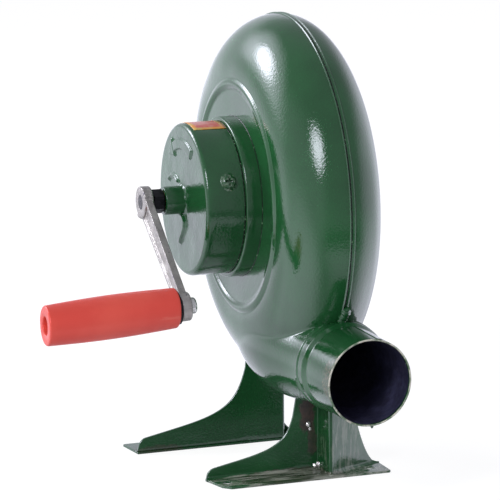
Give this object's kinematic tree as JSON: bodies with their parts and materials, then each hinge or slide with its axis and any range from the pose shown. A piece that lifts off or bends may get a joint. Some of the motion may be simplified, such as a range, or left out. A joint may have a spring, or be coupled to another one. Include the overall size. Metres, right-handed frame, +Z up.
{
  "type": "hand crank forge blower",
  "caption": "Hand-cranked fan blower in a pressed steel scroll on two bent feet, with a gear drum, crank and turning grip, and a round outlet pipe.",
  "frame": {"origin": "on the bench plane, midway between the two bolt holes of the foot below the outlet", "axes": "+X out of the outlet pipe, -Y towards the crank side, +Z up"},
  "size_m": [0.2921, 0.2574, 0.3236],
  "materials": {
    "green_enamel": "glossy dark green enamel over pressed steel",
    "steel": "plain turned and cut steel",
    "black_steel": "blackened, oily steel",
    "bronze": "sintered bronze bushes",
    "cast_alloy": "cast aluminium, tumbled",
    "zinc": "bright zinc plating",
    "red_plastic": "moulded red-orange plastic",
    "fan_alloy": "pressed and cast aluminium"
  },
  "bodies": {
    "housing": {"front_shell": "green_enamel", "rear_shell": "green_enamel", "outlet_pipe": "green_enamel", "outlet_foot": "green_enamel", "far_foot": "green_enamel", "gear_base": "green_enamel", "gear_cover": "green_enamel", "crank_boss": "green_enamel", "crank_bush": "bronze", "cover_screws": "steel", "base_rivets": "steel", "shaft_carrier": "steel", "carrier_screws": "steel", "front_bush": "bronze", "rear_bush": "bronze", "idler_pin": "steel", "idler_clip": "steel"},
    "crank": {"crank_shaft": "steel", "crank_gear": "steel", "shaft_collar": "steel", "crank_nut": "black_steel", "crank_arm": "cast_alloy", "arm_set_screw": "black_steel", "grip_pin": "steel", "grip_washer": "black_steel", "grip_nut": "zinc", "grip_clip": "steel"},
    "grip": {"grip": "red_plastic"},
    "idler": {"idler_gear": "steel", "idler_pinion": "steel"},
    "fan": {"fan_shaft": "steel", "fan_pinion": "steel", "fan_hub": "fan_alloy", "fan_disc": "fan_alloy", "fan_blades": "fan_alloy", "fan_rivets": "steel", "fan_washer": "steel", "fan_nut": "steel"}
  },
  "joints": [
    {"name": "crank_turn", "type": "hinge", "parent": "housing", "child": "crank", "pos_m": [-0.05704, 0.0125, 0.195], "axis": [0, -1, 0], "continuous": true},
    {"name": "grip_turn", "type": "hinge", "parent": "crank", "child": "grip", "pos_m": [0.02785, -0.0971, 0.13666], "axis": [0, -0.9984, -0.0558], "continuous": true},
    {"name": "idler_turn", "type": "hinge", "parent": "housing", "child": "idler", "pos_m": [-0.08225, 0.0125, 0.18532], "axis": [0, -1, 0], "continuous": true},
    {"name": "fan_turn", "type": "hinge", "parent": "housing", "child": "fan", "pos_m": [-0.05704, 0.0125, 0.195], "axis": [0, -1, 0], "continuous": true}
  ],
  "couplings": [
    {"joint": "idler_turn", "follows": "crank_turn", "ratio": -3.9091},
    {"joint": "fan_turn", "follows": "crank_turn", "ratio": 15.281}
  ]
}
